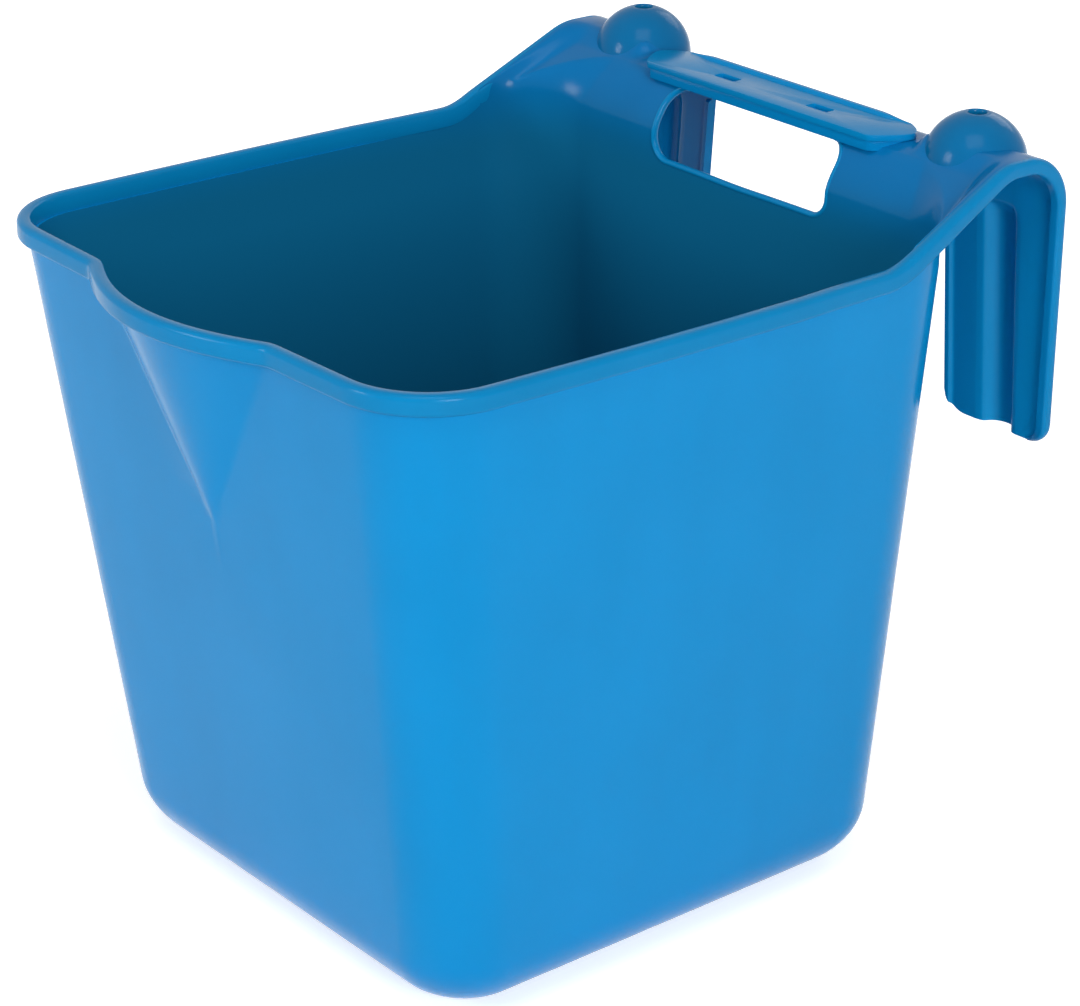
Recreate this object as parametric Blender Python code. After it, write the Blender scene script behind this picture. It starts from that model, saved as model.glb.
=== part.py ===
"""Hook-over feed trough: a drafted plastic tub with a pouring spout, a rim band,
two hooks that drop over a rail or board, and a carrying handle between them.

Metres, +Z up. The origin is the centre of the resting face under the base.
The spout faces -Y, the hooks stand at the +Y side.
"""
import math

import bmesh
import bpy
from mathutils import Matrix, Vector

# Clearance left between two pieces that touch
JOIN_GAP = 0.0003
# How far a cutter runs past what it cuts
OVERRUN = 0.004

# Tub, measured on the outside of its wall
RIM_HEIGHT = 0.2755
TOP_WIDTH = 0.2736
TOP_DEPTH = 0.2758
BASE_WIDTH = 0.2258
BASE_DEPTH = 0.2322
TOP_SHIFT = -0.0128
TOP_CORNER_RADIUS = 0.036
BASE_CORNER_RADIUS = 0.0298
BASE_FILLET = 0.027
WALL = 0.0024
BASE_THICKNESS = 0.0028
RIM_BOW = 0.0014

# Pouring spout in the front wall
SPOUT_HALF_WIDTH = 0.0567
SPOUT_REACH = 0.0160
SPOUT_DEPTH = 0.091

# Band round the rim
BAND_HEIGHT = 0.0081
BAND_PROUD = 0.0030
BAND_CHAMFER = 0.0011

# Hooks
RAIL_GAP = 0.0482
HOOK_WALL = 0.0027
CREST_RISE = 0.0288
CREST_RADIUS = 0.0230
CREST_FLAT = 0.0068
CREST_DROP = 0.0050
RAMP_LENGTH = 0.0730
RAMP_BLEND = 0.0126
SHOULDER_ROUND = 0.0144
SHOULDER_ROUND_SIDE = 0.0045
HOOK_EDGE_INSET = 0.0045
DOME_INSET = 0.0316
DECK_SAG = 0.0055
SAG_EDGE = 0.0143
SAG_FADE = 0.0130
SAG_RETURN = 0.0102
LEG_WIDTH = 0.0600
LEG_DROP = 0.0965
LEG_TAPER = 0.0066
LEG_CORNER = 0.009
LEG_RIB_WIDTH = 0.0027
LEG_RIB_DEPTH = 0.0018
FLUTE_HALF_WIDTH = 0.0079
FLUTE_DEPTH = 0.0068
FLUTE_FADE = 0.008
BAND_CREST_DEPTH = 0.0065
BAND_LEG_DEPTH = 0.0054

# Hand hole under the handle
HOLE_HALF_WIDTH = 0.0527
HOLE_BELOW_RIM = 0.0108
HOLE_CORNER = 0.0090

# Carrying handle and its top plate
PLATE_THICKNESS = 0.0025
PLATE_OVERHANG = 0.0008
PLATE_END_LENGTH = 0.0110
PLATE_END_CLEARANCE = 0.0025
HANDLE_FRONT_SETBACK = 0.0062
HANDLE_DEPTH = 0.0240
HANDLE_SKIRT = 0.0045
HANDLE_WALL = 0.0027
LIP_HEIGHT = 0.0012
LIP_THICKNESS = 0.0031
SLOT_OFFSET = 0.0280
SLOT_LENGTH = 0.0126
SLOT_WIDTH = 0.0054

# Domes on the hook crests
DOME_RADIUS = 0.0212
DOME_WALL = 0.0024
DOME_BELOW_CREST = 0.0102
DOME_HOLE_RADIUS = 0.0038

# Counts of mesh divisions
CORNER_STEPS = 6
SPOUT_STEPS = 16
SIDE_STEPS = 4
BACK_STEPS = 4
FILLET_STEPS = 5
RAMP_STEPS = 6
CREST_STEPS = 6
FLUTE_STEPS = 6
EDGE_STEPS = 6
ROUND_STEPS = 4
DOME_SEGMENTS = 32
DOME_RINGS = 18
HOLE_STEPS = 20

# Shares of a named size
fillet_corner_share = 0.6
least_corner_share = 0.12
least_spout_share = 0.10
spout_level_shares = (0.0, 0.12, 0.3, 0.5, 0.75)
plate_end_shares = ((0.0, 0.0), (0.24, 0.06), (0.46, 0.17), (0.66, 0.29), (0.83, 0.41), (0.95, 0.52),
                    (1.0, 0.61), (0.9, 0.73), (0.62, 0.86), (0.2, 0.96))
wall_level_shares = (0.28, 0.52, 0.76)
shoulder_run_share = 0.95
shoulder_lean_share = 0.07
shoulder_low_share = 0.5
taper_reach_share = 2.2
drop_near_share = 1.02
drop_far_share = -0.69

# Heights and places worked out from the sizes above
SEAT_HEIGHT = RIM_HEIGHT - BAND_HEIGHT
LEG_OUTER = TOP_WIDTH / 2 - HOOK_EDGE_INSET
LEG_INNER = LEG_OUTER - LEG_WIDTH
HOOK_CENTRE = LEG_OUTER - DOME_INSET
CREST_HEIGHT = RIM_HEIGHT + CREST_RISE
BACK_TOP = TOP_SHIFT + TOP_DEPTH / 2
LEG_BACK = BACK_TOP + RAIL_GAP + HOOK_WALL
CREST_END = LEG_BACK - CREST_RADIUS
CREST_START = CREST_END - CREST_FLAT
RAMP_START = CREST_START - RAMP_LENGTH
RAMP_SLOPE = CREST_RISE / (RAMP_LENGTH - RAMP_BLEND)
LEG_BOTTOM = RIM_HEIGHT - LEG_DROP
PLATE_BOTTOM = CREST_HEIGHT - CREST_DROP + JOIN_GAP
PLATE_TOP = PLATE_BOTTOM + PLATE_THICKNESS
SKIRT_BOTTOM = PLATE_BOTTOM - HANDLE_SKIRT
HOLE_BOTTOM = RIM_HEIGHT - HOLE_BELOW_RIM
HANDLE_FRONT = BACK_TOP + HANDLE_FRONT_SETBACK
HANDLE_BACK = HANDLE_FRONT + HANDLE_DEPTH
HANDLE_END = HOLE_HALF_WIDTH - HOLE_CORNER


def lerp(a, b, t):
    return a + (b - a) * t


def smooth(t):
    t = min(max(t, 0.0), 1.0)
    return t * t * (3 - 2 * t)


def material(name, colour, roughness):
    """A plain plastic."""
    mat = bpy.data.materials.new(name)
    mat.use_nodes = True
    shader = mat.node_tree.nodes["Principled BSDF"]
    shader.inputs["Base Color"].default_value = (*colour, 1.0)
    shader.inputs["Roughness"].default_value = roughness
    shader.inputs["Metallic"].default_value = 0.0
    return mat


def add_object(name, bm, colour, roughness=0.28):
    """Turn a bmesh into a named object with its own material."""
    bmesh.ops.recalc_face_normals(bm, faces=bm.faces)
    mesh = bpy.data.meshes.new(name)
    bm.to_mesh(mesh)
    bm.free()
    obj = bpy.data.objects.new(name, mesh)
    bpy.context.scene.collection.objects.link(obj)
    obj.data.materials.append(material(name + "_plastic", colour, roughness))
    mesh.shade_smooth()
    mesh.set_sharp_from_angle(angle=math.radians(40))
    return obj


def add_cutter(name, bm):
    """A helper solid that only cuts and is never part of the object."""
    bmesh.ops.recalc_face_normals(bm, faces=bm.faces)
    mesh = bpy.data.meshes.new(name)
    bm.to_mesh(mesh)
    bm.free()
    obj = bpy.data.objects.new(name, mesh)
    bpy.context.scene.collection.objects.link(obj)
    obj.hide_render = True
    obj.display_type = 'WIRE'
    return obj


def combine(obj, other, operation):
    mod = obj.modifiers.new(operation.lower() + "_" + other.name, 'BOOLEAN')
    mod.operation = operation
    mod.solver = 'EXACT'
    mod.object = other


def loft(bm, rings, closed_rings=True, cap_ends=True):
    """Join equal rings of points with quads and close the two ends."""
    rows = [[bm.verts.new(p) for p in ring] for ring in rings]
    count = len(rows[0])
    last = count if closed_rings else count - 1
    for a, b in zip(rows, rows[1:]):
        for i in range(last):
            j = (i + 1) % count
            bm.faces.new((a[i], a[j], b[j], b[i]))
    if cap_ends:
        bm.faces.new(rows[0])
        bm.faces.new(rows[-1])
    return rows


def prism(bm, outline, axis, low, high):
    """A closed prism over a 2-D outline, drawn along one axis (0, 1 or 2)."""
    def place(p, depth):
        point = list(p)
        point.insert(axis, depth)
        return point
    loft(bm, [[place(p, low) for p in outline], [place(p, high) for p in outline]])


def rounded_box(x_low, x_high, y_low, y_high, radius, steps=ROUND_STEPS):
    """A 2-D rectangle with round corners, counter-clockwise."""
    corners = ((x_high - radius, y_low + radius, -90), (x_high - radius, y_high - radius, 0),
               (x_low + radius, y_high - radius, 90), (x_low + radius, y_low + radius, 180))
    points = []
    for cx, cy, start in corners:
        for k in range(steps + 1):
            angle = math.radians(start + 90 * k / steps)
            points.append((cx + radius * math.cos(angle), cy + radius * math.sin(angle)))
    return points


# The tub's outline at one height, as four numbers
def outline_sizes(z, inset, corner_inset):
    """Half width, front, back and corner radius of the wall at height z."""
    t = z / RIM_HEIGHT
    half = lerp(BASE_WIDTH, TOP_WIDTH, t) / 2 - inset
    half_depth = lerp(BASE_DEPTH, TOP_DEPTH, t) / 2 - inset
    full_radius = lerp(BASE_CORNER_RADIUS, TOP_CORNER_RADIUS, t)
    radius = max(full_radius - corner_inset, full_radius * least_corner_share)
    return half, TOP_SHIFT * t - half_depth, TOP_SHIFT * t + half_depth, radius


def spout_sizes(z):
    """How wide and how far out the spout is at height z, and the width its points use."""
    t = max(0.0, 1 - (RIM_HEIGHT - z) / SPOUT_DEPTH)
    width = SPOUT_HALF_WIDTH * t
    return width, SPOUT_REACH * t, max(width, SPOUT_HALF_WIDTH * least_spout_share)


def front_points(z, half, front, radius):
    """The front wall from left to right, with the spout pushed out of it."""
    width, reach, spread = spout_sizes(z)
    bow = RIM_BOW * z / RIM_HEIGHT
    flat = half - radius
    xs = [lerp(-flat, -spread, k / 2) for k in range(1, 2)]
    xs += [spread * (2 * k / SPOUT_STEPS - 1) for k in range(SPOUT_STEPS + 1)]
    xs += [lerp(spread, flat, k / 2) for k in range(1, 2)]
    points = []
    for x in xs:
        out = bow * (1 - (x / flat) ** 2)
        if abs(x) < width:
            out += reach * (1 - (x / width) ** 2)
        points.append((x, front - out))
    return points


def corner_points(cx, cy, radius, start):
    """A quarter circle, counter-clockwise from the start angle in degrees."""
    return [(cx + radius * math.cos(math.radians(start + 90 * k / CORNER_STEPS)),
             cy + radius * math.sin(math.radians(start + 90 * k / CORNER_STEPS)))
            for k in range(CORNER_STEPS + 1)]


def side_x(y, z, half, front, back, radius):
    """The side wall bows out a little half way along."""
    middle = (front + back) / 2
    flat = (back - front) / 2 - radius
    return half + RIM_BOW * z / RIM_HEIGHT * max(0.0, 1 - ((y - middle) / flat) ** 2)


def tub_ring(z, inset, corner_inset=None):
    """The whole closed outline of the wall at height z, counter-clockwise."""
    corner_inset = inset if corner_inset is None else corner_inset
    half, front, back, radius = outline_sizes(z, inset, corner_inset)
    points = front_points(z, half, front, radius)
    points += corner_points(half - radius, front + radius, radius, -90)
    side = [lerp(front + radius, back - radius, k / SIDE_STEPS) for k in range(1, SIDE_STEPS)]
    points += [(side_x(y, z, half, front, back, radius), y) for y in side]
    points += corner_points(half - radius, back - radius, radius, 0)
    flat = half - radius
    points += [(lerp(flat, -flat, k / BACK_STEPS), back) for k in range(1, BACK_STEPS)]
    points += corner_points(radius - half, back - radius, radius, 90)
    points += [(-side_x(y, z, half, front, back, radius), y) for y in reversed(side)]
    points += corner_points(radius - half, front + radius, radius, 180)
    return points


def wall_levels(fillet_top):
    """Heights of the rings from the top of the base fillet up to the seat of the rim band."""
    apex = RIM_HEIGHT - SPOUT_DEPTH
    low = [lerp(fillet_top, apex, share) for share in wall_level_shares]
    high = [lerp(apex, SEAT_HEIGHT, share) for share in spout_level_shares]
    return low + high + [SEAT_HEIGHT]


def build_tub():
    """Open tub: outer skin up, inner skin down, floor and base closed flat."""
    rings = []
    for k in range(FILLET_STEPS + 1):
        angle = math.radians(90 * k / FILLET_STEPS)
        z = BASE_FILLET * (1 - math.cos(angle))
        inset = BASE_FILLET * (1 - math.sin(angle))
        rings.append((z, tub_ring(z, inset, inset * fillet_corner_share)))
    rings += [(z, tub_ring(z, 0.0)) for z in wall_levels(BASE_FILLET)]
    inner_fillet = BASE_FILLET - WALL
    inner_top = BASE_THICKNESS + inner_fillet
    rings += [(z, tub_ring(z, WALL)) for z in reversed(wall_levels(inner_top))]
    for k in range(FILLET_STEPS, -1, -1):
        angle = math.radians(90 * k / FILLET_STEPS)
        z = BASE_THICKNESS + inner_fillet * (1 - math.cos(angle))
        inset = inner_fillet * (1 - math.sin(angle))
        rings.append((z, tub_ring(z, WALL + inset, WALL + inset * fillet_corner_share)))
    bm = bmesh.new()
    loft(bm, [[(x, y, z) for x, y in ring] for z, ring in rings])
    return add_object("tub", bm, (0.008, 0.245, 0.585))


def band_path(inset, z):
    """The rim outline from the right end of the band, round the front, to its left end."""
    half, front, back, radius = outline_sizes(z, inset, inset)
    end = RAMP_START - JOIN_GAP
    side = [lerp(front + radius, end, k / SIDE_STEPS) for k in range(1, SIDE_STEPS + 1)]
    left = [(-side_x(y, z, half, front, back, radius), y) for y in reversed(side)]
    left += corner_points(radius - half, front + radius, radius, 180)
    right = corner_points(half - radius, front + radius, radius, -90)
    right += [(side_x(y, z, half, front, back, radius), y) for y in side]
    return left + front_points(z, half, front, radius) + right


def build_rim_band():
    """A band with softened edges that caps the wall and stands proud of it outside."""
    low = SEAT_HEIGHT + JOIN_GAP
    high = RIM_HEIGHT
    cut = BAND_CHAMFER
    section = ((WALL, low), (WALL, high - cut), (WALL - cut, high), (cut - BAND_PROUD, high),
               (-BAND_PROUD, high - cut), (-BAND_PROUD, low + cut), (cut - BAND_PROUD, low))
    lines = [[(x, y, z) for x, y in band_path(inset, RIM_HEIGHT)] for inset, z in section]
    bm = bmesh.new()
    loft(bm, [list(station) for station in zip(*lines)])
    return add_object("rim_band", bm, (0.010, 0.275, 0.640))


# The hooks
def ramp_height(y):
    """Height of the hook's top line: level, a ramp with soft ends, then the crest."""
    run = y - RAMP_START
    full = RAMP_LENGTH - RAMP_BLEND
    if run <= 0:
        return RIM_HEIGHT
    if run < RAMP_BLEND:
        return RIM_HEIGHT + RAMP_SLOPE * run * run / (2 * RAMP_BLEND)
    if run < full:
        return RIM_HEIGHT + RAMP_SLOPE * (run - RAMP_BLEND / 2)
    left = max(0.0, RAMP_LENGTH - run)
    return CREST_HEIGHT - RAMP_SLOPE * left * left / (2 * RAMP_BLEND)


def ramp_slope(y):
    """Slope of the same line."""
    run = y - RAMP_START
    if run <= 0 or run >= RAMP_LENGTH:
        return 0.0
    return RAMP_SLOPE * min(1.0, run / RAMP_BLEND, (RAMP_LENGTH - run) / RAMP_BLEND)


def ramp_normal(y):
    return Vector((0.0, -ramp_slope(y), 1.0)).normalized()


def crest_drop(x):
    """The crest is a little lower at its inner end, where the handle's plate lies on it."""
    far = HOOK_CENTRE + DOME_RADIUS * drop_far_share
    return CREST_DROP * smooth((far - x) / (DOME_RADIUS * (drop_far_share + drop_near_share)))


def deck_drop(x, y):
    """How far the hook's surface lies below its top line: it sags in front of the dome."""
    sag = DECK_SAG * (1 - smooth((x - LEG_OUTER + SAG_EDGE) / SAG_FADE))
    return lerp(sag, crest_drop(x), smooth((y - CREST_START + SAG_RETURN) / SAG_RETURN))


def deck_height(x, y):
    return ramp_height(y) - deck_drop(x, y)


def deck_normal(x, y):
    step = SAG_RETURN / 8
    rise = deck_height(x, y + step) - deck_height(x, y - step)
    return Vector((0.0, -rise, 2 * step)).normalized()


def leg_columns():
    """Places across the leg: flat, half-round flute, flat."""
    left = [LEG_INNER, LEG_INNER + LEG_RIB_WIDTH]
    left += [lerp(left[1], HOOK_CENTRE - FLUTE_HALF_WIDTH, k / 3) for k in (1, 2)]
    flute = [HOOK_CENTRE - FLUTE_HALF_WIDTH * math.cos(math.pi * k / FLUTE_STEPS)
             for k in range(FLUTE_STEPS + 1)]
    right = [lerp(flute[-1], LEG_OUTER, k / EDGE_STEPS) for k in range(1, EDGE_STEPS)] + [LEG_OUTER]
    return left + flute + right


def flute_offset(x):
    across = (x - HOOK_CENTRE) / FLUTE_HALF_WIDTH
    return FLUTE_DEPTH * math.sqrt(max(0.0, 1 - across * across))


def leg_low_end(x):
    """The leg's lower edge, with round corners."""
    inner = LEG_INNER + LEG_TAPER
    away = min(x - inner, LEG_OUTER - x)
    short = max(0.0, LEG_CORNER - away)
    return LEG_BOTTOM + LEG_CORNER - math.sqrt(LEG_CORNER ** 2 - min(short, LEG_CORNER) ** 2)


def wall_start(share):
    """Where a hook's wall stands on the tub, along the back and round the corner."""
    half, front, back, radius = outline_sizes(SEAT_HEIGHT, WALL, WALL)
    straight = half - radius - HANDLE_END
    total = straight + math.pi / 2 * radius
    run = share * total
    if run <= straight:
        return Vector((HANDLE_END + run, back)), Vector((0.0, 1.0))
    angle = (run - straight) / radius
    out = Vector((math.sin(angle), math.cos(angle)))
    return Vector((half - radius, back - radius)) + radius * out, out


def hook_edge(y):
    """Half width of the hook's straight outer edge at y."""
    half = outline_sizes(SEAT_HEIGHT, 0.0, 0.0)[0]
    foot = wall_start(1.0)[0].y
    along = (y - foot) / (CREST_START - foot)
    return lerp(half, LEG_OUTER, min(1.0, max(0.0, along)))


def skin_points(column):
    """The upper and lower skins of one strip, kept inside the outer edge."""
    upper = [tuple(point) for point, normal, thick, shift in column]
    lower = []
    for point, normal, thick, shift in column:
        y = point.y - normal.y * thick
        lower.append((min(point.x + shift, hook_edge(y)), y, point.z - normal.z * thick))
    return upper, lower


def hook_column(x_leg, outermost):
    """One strip of the hook, from the tub's wall over the crest to the leg's end.

    Each entry is a point of the upper skin, its normal, the thickness there, and how far
    sideways the lower skin lies from it.
    """
    share = (x_leg - LEG_INNER) / (LEG_OUTER - LEG_INNER)
    start, out = wall_start(share)
    inward = Vector((-out.x, -out.y, 0.0))
    x_crest = lerp(HANDLE_END, LEG_OUTER, share)
    drop = crest_drop(x_crest)
    rounding = lerp(SHOULDER_ROUND, SHOULDER_ROUND_SIDE, out.x)
    edge = deck_height(x_crest, start.y)
    edge_x = hook_edge(start.y) if outermost else start.x
    strip = []

    for z in (SEAT_HEIGHT + JOIN_GAP, edge - rounding):
        strip.append((Vector((start.x, start.y, z)), inward, WALL, out.x * WALL))

    # Rounded shoulder between the wall and the ramp
    end_y = start.y + rounding * lerp(shoulder_run_share, 1.0, out.x)
    run = (end_y - start.y) / (CREST_START - start.y)
    first = Vector((start.x, start.y, edge - rounding))
    lean = lerp(shoulder_lean_share, 0.0, out.x) * rounding
    corner = Vector((edge_x, start.y + lean, edge - lerp(shoulder_low_share, 0.0, out.x) * rounding))
    last = Vector((lerp(edge_x, x_crest, run), end_y, deck_height(x_crest, end_y)))
    for k in range(1, ROUND_STEPS + 1):
        t = k / ROUND_STEPS
        point = first * (1 - t) ** 2 + corner * (2 * t * (1 - t)) + last * t * t
        normal = inward.lerp(deck_normal(x_crest, end_y), t).normalized()
        strip.append((point, normal, lerp(WALL, HOOK_WALL, t), out.x * WALL))

    for k in range(1, RAMP_STEPS + 1):
        y = lerp(end_y, CREST_START, k / RAMP_STEPS)
        along = (y - start.y) / (CREST_START - start.y)
        point = Vector((lerp(edge_x, x_crest, along), y, deck_height(x_crest, y)))
        normal = deck_normal(x_crest, y) if k < RAMP_STEPS else Vector((0.0, 0.0, 1.0))
        strip.append((point, normal, HOOK_WALL, out.x * WALL * (1 - k / RAMP_STEPS)))

    for k in range(CREST_STEPS + 1):
        angle = math.radians(90 * k / CREST_STEPS)
        x = lerp(x_crest, x_leg, smooth(k / CREST_STEPS))
        normal = Vector((0.0, math.sin(angle), math.cos(angle)))
        centre = Vector((x, CREST_END, CREST_HEIGHT - CREST_RADIUS - drop))
        strip.append((centre + normal * CREST_RADIUS, normal, HOOK_WALL, 0.0))

    leg_top = CREST_HEIGHT - CREST_RADIUS - CREST_DROP
    rib = LEG_RIB_DEPTH if x_leg <= LEG_INNER + LEG_RIB_WIDTH else 0.0
    low = leg_low_end(lerp(LEG_INNER + LEG_TAPER, LEG_OUTER, share))
    for t in (0.25 * FLUTE_FADE, 0.6 * FLUTE_FADE, FLUTE_FADE, 4 * FLUTE_FADE, 8 * FLUTE_FADE, None):
        z = low if t is None else leg_top - t
        flute = flute_offset(x_leg) * smooth((leg_top - z) / FLUTE_FADE)
        taper = LEG_TAPER * (leg_top - z) / (leg_top - LEG_BOTTOM)
        x = x_leg + taper * min(1.0, (1 - share) * taper_reach_share)
        strip.append((Vector((x, LEG_BACK + flute, z)), Vector((0.0, 1.0, 0.0)), HOOK_WALL + rib, 0.0))
    return strip


def mirrored(points, side):
    return [(side * p[0], p[1], p[2]) for p in points]


def skin_cutter(side, name):
    """A solid that fills all the space below one hook's upper skin, with the join gap added."""
    low = SEAT_HEIGHT - OVERRUN
    rings = []
    for column in [hook_column(x, False) for x in leg_columns()[:-1]]:
        skin = [tuple(point + normal * JOIN_GAP) for point, normal, thick, shift in column if point.z > low]
        rings.append(skin + [(skin[-1][0], skin[-1][1], low), (skin[0][0], skin[0][1], low)])
    most = max(len(ring) for ring in rings)
    rings = [ring[:-2] + [ring[-3]] * (most - len(ring)) + ring[-2:] for ring in rings]
    rings.insert(0, [(HANDLE_END - JOIN_GAP, y, z) for x, y, z in rings[0]])
    bm = bmesh.new()
    loft(bm, [mirrored(ring, side) for ring in rings])
    bmesh.ops.remove_doubles(bm, verts=bm.verts, dist=JOIN_GAP / 100)
    return add_cutter(name, bm)


def build_hook(side, name, hole_cutter):
    """The bent sheet of one hook, with its upper and lower skins and closed edges."""
    places = leg_columns()
    columns = [hook_column(x, x == places[-1]) for x in places]
    rings = []
    for column in columns:
        upper, lower = skin_points(column)
        rings.append(mirrored(upper + lower[::-1], side))
    bm = bmesh.new()
    rows = loft(bm, rings, cap_ends=False)
    half = len(columns[0])
    for row in (rows[0], rows[-1]):
        for i in range(half - 1):
            bm.faces.new((row[i], row[i + 1], row[2 * half - 2 - i], row[2 * half - 1 - i]))
    hook = add_object(name, bm, (0.007, 0.215, 0.540))
    combine(hook, hole_cutter, 'DIFFERENCE')
    return hook


def band_line():
    """The hook's outer top line with its normals, from the ramp's foot to the leg's end."""
    line = []
    for k in range(3 * RAMP_STEPS + 1):
        y = lerp(RAMP_START, CREST_START, k / (3 * RAMP_STEPS))
        line.append((y, ramp_height(y), ramp_normal(y)))
    for k in range(CREST_STEPS + 1):
        angle = math.radians(90 * k / CREST_STEPS)
        normal = Vector((0.0, math.sin(angle), math.cos(angle)))
        point = Vector((0.0, CREST_END, CREST_HEIGHT - CREST_RADIUS)) + normal * CREST_RADIUS
        line.append((point.y, point.z, normal))
    low = LEG_BOTTOM + LEG_CORNER
    line.append((LEG_BACK, low, Vector((0.0, 1.0, 0.0))))
    return line


def build_hook_band(side, name):
    """The rim band's run up the ramp, over the crest and down the leg's outer edge.

    At its foot it also holds the short piece of wall between the rim band and the hook.
    """
    half = outline_sizes(RIM_HEIGHT, 0.0, 0.0)[0]
    rings = []
    for y, z, normal in band_line():
        x_low = hook_edge(y) + JOIN_GAP
        x_high = x_low + BAND_PROUD
        depth = lerp(BAND_HEIGHT - JOIN_GAP, BAND_CREST_DEPTH, smooth((y - RAMP_START) / RAMP_LENGTH))
        if y > CREST_END:
            depth = lerp(BAND_CREST_DEPTH, BAND_LEG_DEPTH, smooth((CREST_HEIGHT - z) / CREST_RISE))
        top = Vector((0.0, y, z))
        low = top - normal * depth
        cut = BAND_CHAMFER
        edge = top - normal * cut
        ring = [(x_low, *top.yz), (x_high - cut, *top.yz), (x_high, *edge.yz), (x_high, *low.yz),
                (x_low, *low.yz)]
        rings.append(mirrored(ring, side))
    bm = bmesh.new()
    loft(bm, rings)
    band = add_object(name, bm, (0.010, 0.275, 0.640))

    start, out = wall_start(1.0)
    end = start.y - JOIN_GAP
    lines = []
    for k in range(RAMP_STEPS + 1):
        y = lerp(RAMP_START, end, k / RAMP_STEPS)
        x_high = half + BAND_PROUD / 2
        z = ramp_height(y)
        ring = [(start.x, y, z), (x_high, y, z), (x_high, y, SEAT_HEIGHT + JOIN_GAP),
                (start.x, y, SEAT_HEIGHT + JOIN_GAP)]
        lines.append(mirrored(ring, side))
    foot = bmesh.new()
    loft(foot, lines)
    combine(band, add_cutter(name + "_foot", foot), 'UNION')
    return band


# Domes
def build_dome(side, name, skin):
    """A hollow ball that stands out of the crest, with a small hole at its top."""
    centre = Vector((side * HOOK_CENTRE, LEG_BACK + HOOK_WALL - DOME_RADIUS, CREST_HEIGHT - DOME_BELOW_CREST))
    place = Matrix.Translation(centre)
    bm = bmesh.new()
    bmesh.ops.create_uvsphere(bm, u_segments=DOME_SEGMENTS, v_segments=DOME_RINGS, radius=DOME_RADIUS,
                              matrix=place)
    dome = add_object(name, bm, (0.006, 0.200, 0.520))

    inner = bmesh.new()
    bmesh.ops.create_uvsphere(inner, u_segments=DOME_SEGMENTS, v_segments=DOME_RINGS,
                              radius=DOME_RADIUS - DOME_WALL, matrix=place)
    combine(dome, add_cutter(name + "_hollow", inner), 'DIFFERENCE')

    hole = bmesh.new()
    bmesh.ops.create_cone(hole, cap_ends=True, segments=HOLE_STEPS, radius1=DOME_HOLE_RADIUS,
                          radius2=DOME_HOLE_RADIUS, depth=DOME_RADIUS,
                          matrix=Matrix.Translation(centre + Vector((0.0, 0.0, DOME_RADIUS))))
    combine(dome, add_cutter(name + "_hole", hole), 'DIFFERENCE')

    combine(dome, skin, 'DIFFERENCE')
    return dome


# Handle
def plate_outline(inset):
    """Boat-shaped outline: straight front edge, ends that sweep out and back in again."""
    front = HANDLE_FRONT - PLATE_OVERHANG + inset
    back = HANDLE_BACK + PLATE_OVERHANG - inset
    tip = HOOK_CENTRE - DOME_RADIUS - PLATE_END_CLEARANCE - inset
    straight = tip - PLATE_END_LENGTH
    right = [(straight + PLATE_END_LENGTH * across, lerp(front, back, along))
             for across, along in plate_end_shares]
    right.append((straight, back))
    return [(-x, y) for x, y in reversed(right)] + right


def build_handle(skins):
    """A frame between the hooks. Its front face runs on over both hooks and fades into them."""
    bm = bmesh.new()
    prism(bm, plate_outline(PLATE_OVERHANG), 2, SKIRT_BOTTOM, PLATE_BOTTOM - JOIN_GAP)
    handle = add_object("carry_handle", bm, (0.008, 0.225, 0.560))
    hollow = bmesh.new()
    end = HANDLE_END - JOIN_GAP - HANDLE_WALL
    inner = rounded_box(-end, end, HANDLE_FRONT + HANDLE_WALL, HANDLE_BACK - HANDLE_WALL, HANDLE_WALL)
    prism(hollow, inner, 2, SKIRT_BOTTOM - OVERRUN, PLATE_BOTTOM + OVERRUN)
    combine(handle, add_cutter("carry_handle_hollow", hollow), 'DIFFERENCE')
    for skin in skins:
        combine(handle, skin, 'DIFFERENCE')
    return handle


def build_plate():
    """The handle's flat top with two drain slots and a raised lip along its back."""
    bm = bmesh.new()
    prism(bm, plate_outline(0.0), 2, PLATE_BOTTOM, PLATE_TOP)
    plate = add_object("handle_top_plate", bm, (0.012, 0.290, 0.640), 0.24)
    back = HANDLE_BACK + PLATE_OVERHANG
    end = HOOK_CENTRE - DOME_RADIUS - PLATE_END_CLEARANCE - PLATE_END_LENGTH
    lip = bmesh.new()
    prism(lip, rounded_box(-end, end, back - LIP_THICKNESS, back, LIP_THICKNESS / 4), 2,
          PLATE_BOTTOM, PLATE_TOP + LIP_HEIGHT)
    combine(plate, add_cutter("plate_lip", lip), 'UNION')
    middle = (HANDLE_FRONT + HANDLE_BACK - LIP_THICKNESS) / 2
    for side in (-1, 1):
        slot = bmesh.new()
        x = side * SLOT_OFFSET
        outline = rounded_box(x - SLOT_LENGTH / 2, x + SLOT_LENGTH / 2, middle - SLOT_WIDTH / 2,
                              middle + SLOT_WIDTH / 2, SLOT_WIDTH / 4)
        prism(slot, outline, 2, PLATE_BOTTOM - OVERRUN, PLATE_TOP + OVERRUN)
        combine(plate, add_cutter("plate_slot_" + ("right" if side > 0 else "left"), slot), 'DIFFERENCE')
    return plate


def build_hole_cutter():
    """The hand hole, cut through the back of the tub and the two hooks' walls."""
    bm = bmesh.new()
    outline = rounded_box(-HOLE_HALF_WIDTH, HOLE_HALF_WIDTH, HOLE_BOTTOM, SKIRT_BOTTOM, HOLE_CORNER)
    half, front, back, radius = outline_sizes(SEAT_HEIGHT, WALL, WALL)
    prism(bm, outline, 1, back - OVERRUN, CREST_START)
    return add_cutter("hand_hole", bm)


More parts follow.
